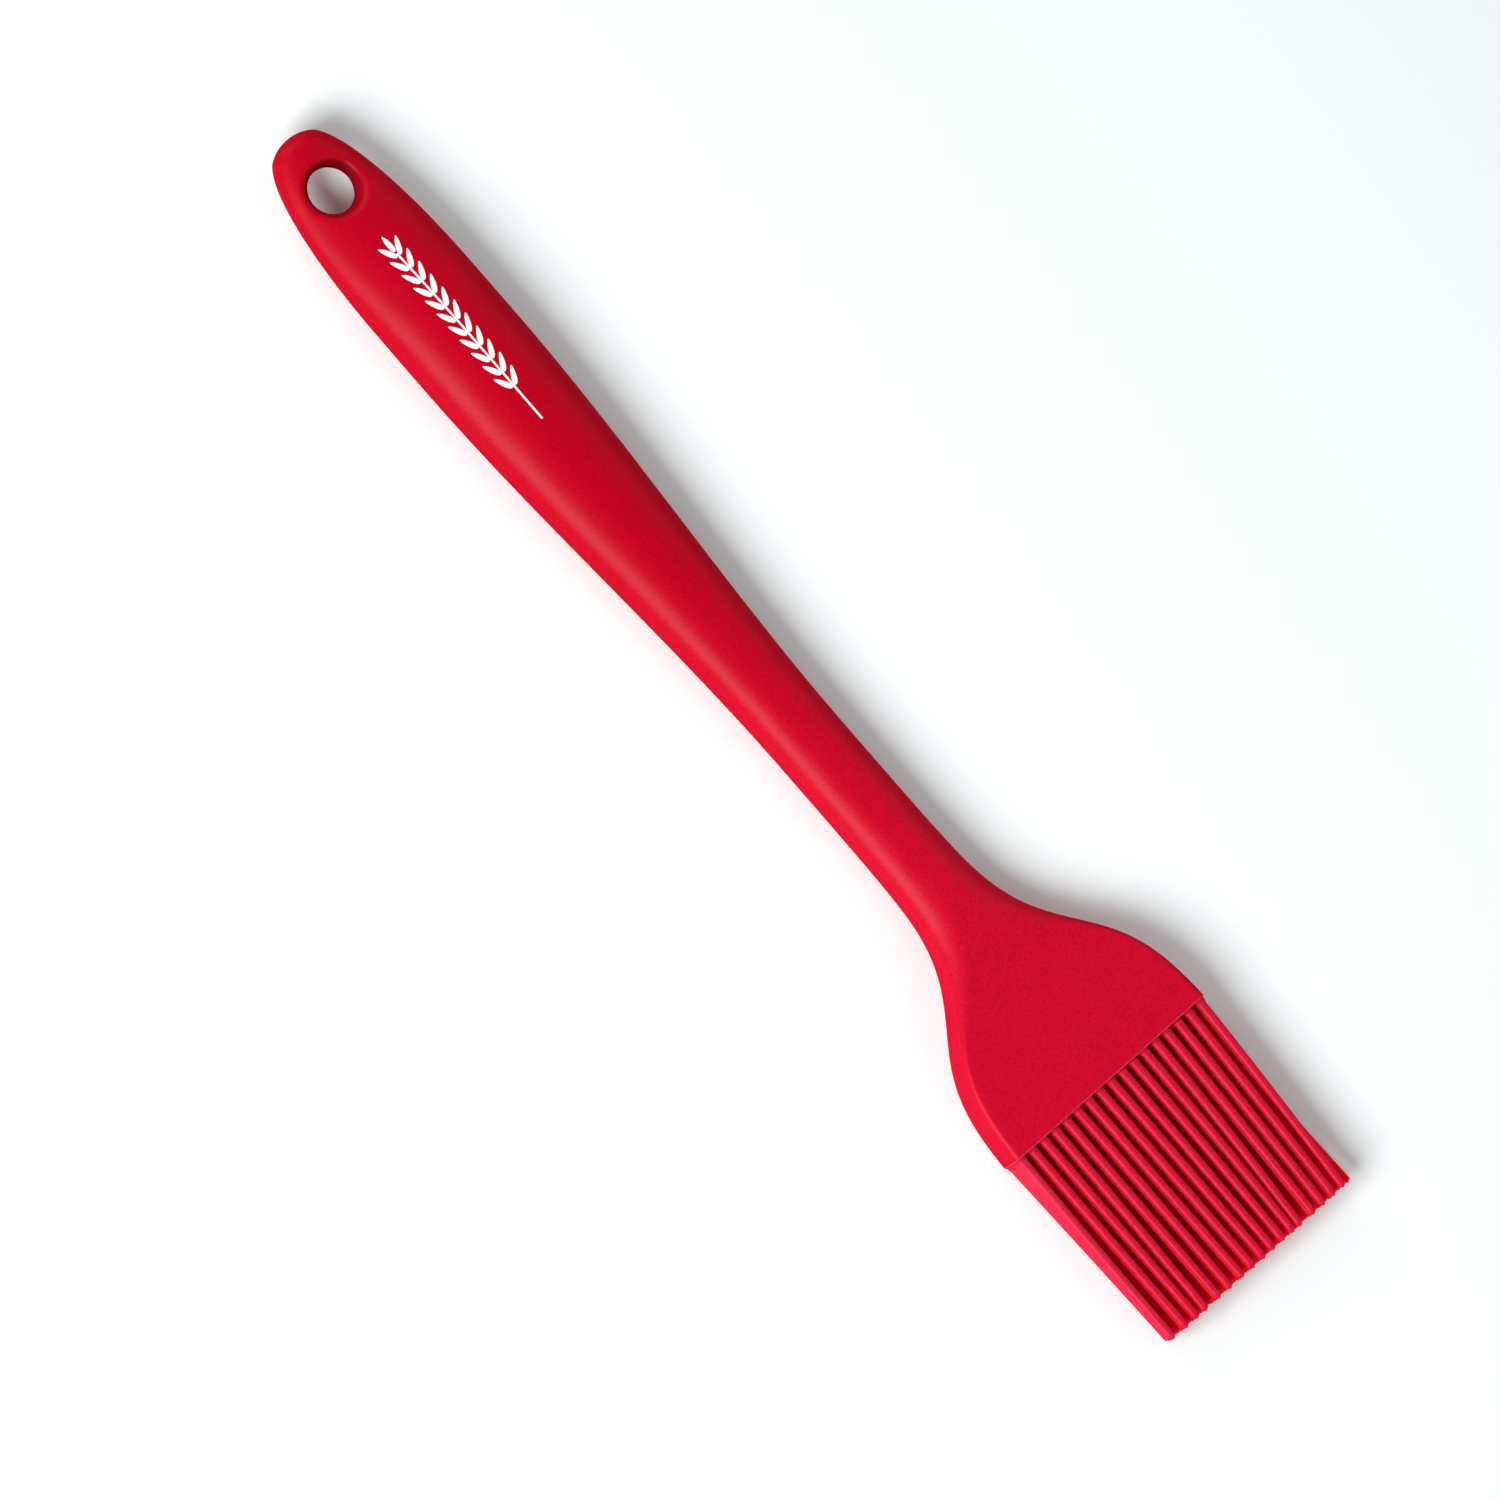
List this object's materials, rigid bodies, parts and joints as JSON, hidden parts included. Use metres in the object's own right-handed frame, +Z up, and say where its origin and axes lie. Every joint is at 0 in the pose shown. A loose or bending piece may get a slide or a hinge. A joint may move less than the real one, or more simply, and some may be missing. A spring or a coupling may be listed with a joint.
{
  "type": "pastry brush",
  "caption": "Silicone pastry brush: a rounded handle with a hanging hole, a slim neck, a flat fan-shaped head and rows of straight slim bristles that flex at their roots.",
  "frame": {"origin": "middle of the footprint on the surface that the brush lies on", "axes": "+Y along the handle to the hanging end, +Z up out of the printed face, X across the width"},
  "size_m": [0.0472, 0.2648, 0.0131],
  "materials": {
    "silicone_body": "matt moulded silicone",
    "silicone_bristles": "matt moulded silicone",
    "nylon_core": "natural glass-filled nylon",
    "white_print": "white silicone ink"
  },
  "bodies": {
    "body": {"handle_overmould": "silicone_body", "stiffener_core": "nylon_core", "bristle_block": "silicone_bristles"},
    "row_1": {"bristle_row_1": "silicone_bristles"},
    "row_2": {"bristle_row_2": "silicone_bristles"},
    "row_3": {"bristle_row_3": "silicone_bristles"},
    "row_4": {"bristle_row_4": "silicone_bristles"},
    "row_5": {"bristle_row_5": "silicone_bristles"}
  },
  "joints": [
    {"name": "row_1_bend", "type": "hinge", "parent": "body", "child": "row_1", "pos_m": [0, -0.091, 0.00835], "axis": [1, 0, 0], "range_deg": [-40, 40], "stiffness_Nm_per_rad": 0.02},
    {"name": "row_2_bend", "type": "hinge", "parent": "body", "child": "row_2", "pos_m": [0, -0.09098, 0.0066], "axis": [1, 0, 0], "range_deg": [-40, 40], "stiffness_Nm_per_rad": 0.02},
    {"name": "row_3_bend", "type": "hinge", "parent": "body", "child": "row_3", "pos_m": [0, -0.09096, 0.00485], "axis": [1, 0, 0], "range_deg": [-40, 40], "stiffness_Nm_per_rad": 0.02},
    {"name": "row_4_bend", "type": "hinge", "parent": "body", "child": "row_4", "pos_m": [0, -0.09094, 0.0031], "axis": [1, 0, 0], "range_deg": [-40, 40], "stiffness_Nm_per_rad": 0.02},
    {"name": "row_5_bend", "type": "hinge", "parent": "body", "child": "row_5", "pos_m": [0, -0.09093, 0.00135], "axis": [1, 0, 0], "range_deg": [-40, 40], "stiffness_Nm_per_rad": 0.02}
  ],
  "couplings": [
    {"joint": "row_2_bend", "follows": "row_1_bend", "ratio": 1},
    {"joint": "row_3_bend", "follows": "row_1_bend", "ratio": 1},
    {"joint": "row_4_bend", "follows": "row_1_bend", "ratio": 1},
    {"joint": "row_5_bend", "follows": "row_1_bend", "ratio": 1}
  ]
}
